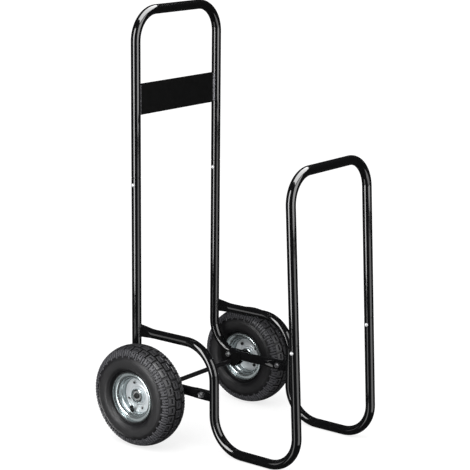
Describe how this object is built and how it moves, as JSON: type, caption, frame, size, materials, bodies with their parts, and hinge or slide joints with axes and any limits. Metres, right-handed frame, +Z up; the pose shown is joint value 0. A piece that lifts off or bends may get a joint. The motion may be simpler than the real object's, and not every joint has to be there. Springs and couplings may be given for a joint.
{
  "type": "fireside log cart",
  "caption": "Hand truck of bent round tube on pneumatic wheels that carries firewood to the hearth; its handle and hoop plug in with snap buttons.",
  "frame": {"origin": "on the floor, under the middle of the cart's bounding box", "axes": "+Z up; -Y is the front, where the short hoop stands, and +Y the back, where the handle and the wheels are; X runs along the axle, with left at -X as seen from the front"},
  "size_m": [0.5278, 0.5835, 1.092],
  "materials": {
    "tube_gloss_black": "smooth gloss black powder coat",
    "plate_satin_black": "satin black powder coat",
    "button_steel": "bright polished steel",
    "spring_steel": "plain spring strip",
    "zinc_steel": "bright zinc plate",
    "rim_zinc": "zinc plate with a cool grey cast",
    "axle_dark_steel": "black painted steel",
    "bearing_steel": "steel races with a dark seal between them",
    "bolt_black": "black oxide",
    "cap_black": "moulded black plastic",
    "valve_rubber": "smooth black rubber",
    "tube_rubber": "butyl rubber",
    "tyre_rubber": "smooth dark sidewall and cut tread"
  },
  "bodies": {
    "frame": {"upper_handle": "tube_gloss_black", "handle_plate": "plate_satin_black", "rear_post_left": "tube_gloss_black", "rear_post_right": "tube_gloss_black", "side_loop_left": "tube_gloss_black", "side_loop_right": "tube_gloss_black", "front_hoop": "tube_gloss_black", "handle_spring_left": "spring_steel", "handle_spring_right": "spring_steel", "hoop_spring_left": "spring_steel", "hoop_spring_right": "spring_steel", "arm_tab_left": "plate_satin_black", "arm_tab_right": "plate_satin_black", "arm_bolts": "zinc_steel", "arm_washers": "zinc_steel", "arm_nuts": "zinc_steel", "axle": "axle_dark_steel", "axle_bracket_left": "plate_satin_black", "axle_bracket_right": "plate_satin_black", "bracket_bolts": "zinc_steel", "bracket_nuts": "zinc_steel", "axle_spacer_left": "axle_dark_steel", "axle_spacer_right": "axle_dark_steel", "end_washers": "zinc_steel", "axle_cap_left": "cap_black", "axle_cap_right": "cap_black"},
    "wheel_left": {"tyre_left": "tyre_rubber", "inner_tube_left": "tube_rubber", "rim_outer_left": "rim_zinc", "rim_inner_left": "rim_zinc", "bearings_left": "bearing_steel", "bearing_ring_left": "zinc_steel", "rim_bolts_left": "bolt_black", "rim_nuts_left": "zinc_steel", "valve_left": "valve_rubber", "valve_cap_left": "cap_black"},
    "handle_button_left": {"handle_button_left": "button_steel"},
    "hoop_button_left": {"hoop_button_left": "button_steel"},
    "wheel_right": {"tyre_right": "tyre_rubber", "inner_tube_right": "tube_rubber", "rim_outer_right": "rim_zinc", "rim_inner_right": "rim_zinc", "bearings_right": "bearing_steel", "bearing_ring_right": "zinc_steel", "rim_bolts_right": "bolt_black", "rim_nuts_right": "zinc_steel", "valve_right": "valve_rubber", "valve_cap_right": "cap_black"},
    "handle_button_right": {"handle_button_right": "button_steel"},
    "hoop_button_right": {"hoop_button_right": "button_steel"}
  },
  "joints": [
    {"name": "wheel_left_spin", "type": "hinge", "parent": "frame", "child": "wheel_left", "pos_m": [0, 0.16182, 0.13], "axis": [1, 0, 0], "continuous": true},
    {"name": "wheel_right_spin", "type": "hinge", "parent": "frame", "child": "wheel_right", "pos_m": [0, 0.16182, 0.13], "axis": [1, 0, 0], "continuous": true},
    {"name": "handle_button_left_press", "type": "slide", "parent": "frame", "child": "handle_button_left", "axis": [1, 0, 0], "range_m": [0, 0.0042], "stiffness_N_per_m": 800, "springref_m": -0.002, "deforming": ["handle_spring_left"]},
    {"name": "handle_button_right_press", "type": "slide", "parent": "frame", "child": "handle_button_right", "axis": [1, 0, 0], "range_m": [0, 0.0042], "stiffness_N_per_m": 800, "springref_m": -0.002, "deforming": ["handle_spring_right"]},
    {"name": "hoop_button_left_press", "type": "slide", "parent": "frame", "child": "hoop_button_left", "axis": [1, 0, 0], "range_m": [0, 0.0042], "stiffness_N_per_m": 800, "springref_m": -0.002, "deforming": ["hoop_spring_left"]},
    {"name": "hoop_button_right_press", "type": "slide", "parent": "frame", "child": "hoop_button_right", "axis": [1, 0, 0], "range_m": [0, 0.0042], "stiffness_N_per_m": 800, "springref_m": -0.002, "deforming": ["hoop_spring_right"]}
  ]
}
